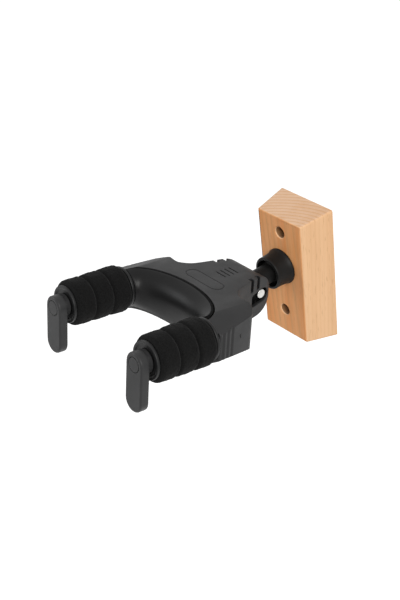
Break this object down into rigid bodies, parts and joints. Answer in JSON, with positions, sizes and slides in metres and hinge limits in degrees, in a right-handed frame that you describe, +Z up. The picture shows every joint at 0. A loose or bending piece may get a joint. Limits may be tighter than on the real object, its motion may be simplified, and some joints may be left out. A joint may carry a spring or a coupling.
{
  "type": "wall guitar hanger",
  "caption": "Wooden wall block with a swivelling, tilting padded yoke whose two hinged gates swing across the fork when weight lowers the yoke.",
  "frame": {"origin": "centre of the wall block's back face, which lies on the wall", "axes": "+Y into the wall, -Y out into the room along the hanger, +Z up, +X to the right seen from the room; mirror symmetric about X = 0"},
  "size_m": [0.1094, 0.1756, 0.0958],
  "materials": {
    "beech": "fine sanded, clear oiled",
    "collar_black": "satin black",
    "stem_black": "satin black",
    "housing_grey": "fine moulded grain",
    "liner_grey": "smooth satin",
    "foam_black": "matte closed-cell foam",
    "dark_plastic": "satin moulded",
    "cap_grey": "satin moulded",
    "bright_steel": "ground and polished",
    "zinc_steel": "bright zinc plate",
    "bronze": "sintered",
    "acetal": "natural, machined"
  },
  "bodies": {
    "base": {"wall_block": "beech", "wall_collar": "collar_black", "flat_washer": "zinc_steel", "wave_washer": "zinc_steel", "friction_washer": "acetal"},
    "stem": {"swivel_stem": "stem_black", "pivot_bush": "bronze", "lock_nut": "zinc_steel"},
    "yoke": {"yoke_housing": "housing_grey", "bottom_plate": "housing_grey", "saddle_liner": "liner_grey", "housing_screw_1": "zinc_steel", "housing_screw_2": "zinc_steel", "housing_screw_3": "zinc_steel", "housing_screw_4": "zinc_steel", "pivot_insert_left": "dark_plastic", "pivot_insert_right": "dark_plastic", "pivot_pin": "bright_steel", "stop_pin": "bright_steel", "return_spring": "bright_steel", "guide_pin_left": "bright_steel", "guide_pin_right": "bright_steel", "root_ring_left": "housing_grey", "root_ring_right": "housing_grey", "arm_tube_left": "zinc_steel", "arm_tube_right": "zinc_steel", "foam_sleeve_left": "foam_black", "foam_sleeve_right": "foam_black", "end_cap_left": "cap_grey", "end_cap_right": "cap_grey", "shaft_bush_left": "acetal", "shaft_bush_right": "acetal"},
    "lift_bar": {"lift_bar": "zinc_steel"},
    "gate_left": {"gate_left": "housing_grey", "gate_shaft_left": "bright_steel", "gate_crank_left": "zinc_steel", "gate_screw_left": "zinc_steel", "screw_cover_left": "housing_grey"},
    "gate_right": {"gate_right": "housing_grey", "gate_shaft_right": "bright_steel", "gate_crank_right": "zinc_steel", "gate_screw_right": "zinc_steel", "screw_cover_right": "housing_grey"}
  },
  "joints": [
    {"name": "yoke_swivel", "type": "hinge", "parent": "base", "child": "stem", "pos_m": [0, -0.0302, 0.0094], "axis": [0, 1, 0], "range_deg": [-90, 90]},
    {"name": "yoke_tilt", "type": "hinge", "parent": "stem", "child": "yoke", "pos_m": [0, -0.055, 0.0094], "axis": [1, 0, 0], "range_deg": [0, 11.25], "stiffness_Nm_per_rad": 1.5, "springref_deg": -11.46, "deforming": ["return_spring"]},
    {"name": "bar_lift", "type": "slide", "parent": "yoke", "child": "lift_bar", "axis": [0, 0.1951, 0.9808], "range_m": [0, 0.00796]},
    {"name": "gate_left_turn", "type": "hinge", "parent": "yoke", "child": "gate_left", "pos_m": [-0.04, -0.16671, 0.03264], "axis": [0, -0.9808, 0.1951], "range_deg": [0, 90]},
    {"name": "gate_right_turn", "type": "hinge", "parent": "yoke", "child": "gate_right", "pos_m": [0.04, -0.16671, 0.03264], "axis": [0, 0.9808, -0.1951], "range_deg": [0, 90]}
  ],
  "couplings": [
    {"joint": "bar_lift", "follows": "yoke_tilt", "m_per_rad": 0.040535},
    {"joint": "gate_left_turn", "follows": "yoke_tilt", "ratio": 8},
    {"joint": "gate_right_turn", "follows": "yoke_tilt", "ratio": 8}
  ]
}
